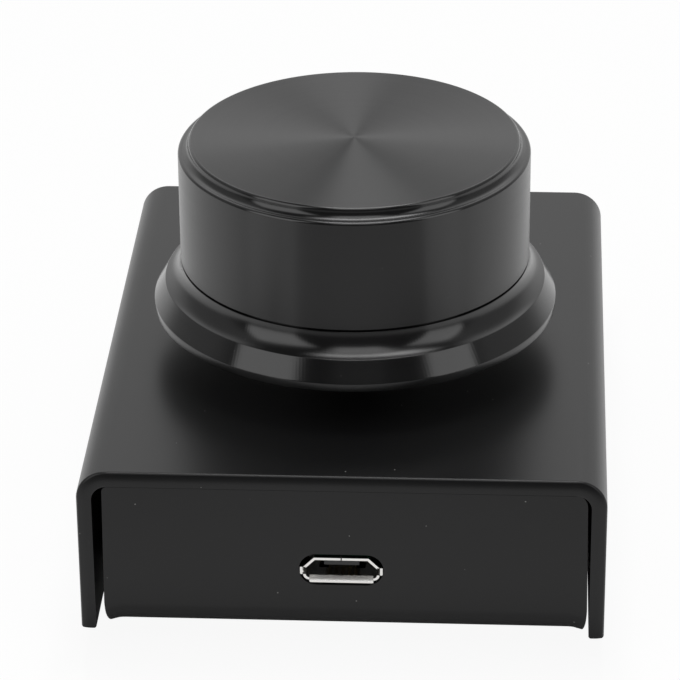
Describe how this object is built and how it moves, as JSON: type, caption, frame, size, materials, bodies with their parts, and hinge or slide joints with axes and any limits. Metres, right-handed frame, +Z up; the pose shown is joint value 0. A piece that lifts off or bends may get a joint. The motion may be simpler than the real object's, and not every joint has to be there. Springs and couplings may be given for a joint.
{
  "type": "usb volume control knob",
  "caption": "Desk volume control: a large turned black knob on a folded black sheet-metal box, turned to set the level and pressed as a button, with a small socket in front.",
  "frame": {"origin": "on the table, under the middle of the box's outline", "axes": "+Z up along the knob's axis, -Y towards the user and the socket, +X to the user's right"},
  "size_m": [0.051, 0.065, 0.0418],
  "materials": {
    "black_sheet": "black anodised, finely satin",
    "knob_metal": "turned, then black anodised",
    "black_screw": "black zinc plated",
    "foot_rubber": "matt, moulded",
    "shaft_metal": "turned, bright",
    "cast_zinc": "die-cast, threaded neck",
    "plated_steel": "nickel plated",
    "spring_steel": "thin spring sheet",
    "contact_metal": "gold-flashed bronze strip",
    "tinned_metal": "tinned",
    "bright_shell": "pressed, nickel plated, bright",
    "black_moulding": "moulded, glass filled",
    "white_moulding": "moulded acetal",
    "board_laminate": "solder mask over glass laminate",
    "chip_ceramic": "fired ceramic with tinned ends"
  },
  "bodies": {
    "case": {"top_cover": "black_sheet", "bottom_tray": "black_sheet", "cover_screws": "black_screw", "rubber_foot_front_left": "foot_rubber", "rubber_foot_front_right": "foot_rubber", "rubber_foot_back_left": "foot_rubber", "rubber_foot_back_right": "foot_rubber", "encoder_bushing": "cast_zinc", "encoder_frame": "plated_steel", "encoder_wipers": "contact_metal", "switch_contacts": "contact_metal", "encoder_base": "black_moulding", "encoder_detent_spring": "spring_steel", "switch_dome": "spring_steel", "encoder_washer": "plated_steel", "encoder_nut": "plated_steel", "circuit_board": "board_laminate", "controller_chip": "black_moulding", "chip_leads": "tinned_metal", "crystal": "plated_steel", "chip_resistors": "chip_ceramic", "chip_capacitors": "chip_ceramic", "usb_shell": "bright_shell", "usb_contacts": "contact_metal", "usb_insulator": "black_moulding"},
    "push_carriage": {"switch_plunger": "white_moulding"},
    "turning_knob": {"knob_body": "knob_metal", "knob_grub_screw": "black_screw", "encoder_shaft": "shaft_metal"},
    "encoder_wheel": {"encoder_rotor": "white_moulding", "encoder_code_disc": "contact_metal"}
  },
  "joints": [
    {"name": "knob_press", "type": "slide", "parent": "case", "child": "push_carriage", "axis": [0, 0, -1], "range_m": [0, 0.0005], "stiffness_N_per_m": 3000, "springref_m": -0.001, "deforming": ["switch_dome"]},
    {"name": "knob_turn", "type": "hinge", "parent": "push_carriage", "child": "turning_knob", "pos_m": [0, -0.0033, 0.03], "axis": [0, 0, 1], "continuous": true},
    {"name": "wheel_turn", "type": "hinge", "parent": "case", "child": "encoder_wheel", "pos_m": [0, -0.0033, 0.015], "axis": [0, 0, 1], "continuous": true}
  ],
  "couplings": [
    {"joint": "wheel_turn", "follows": "knob_turn", "ratio": 1}
  ]
}
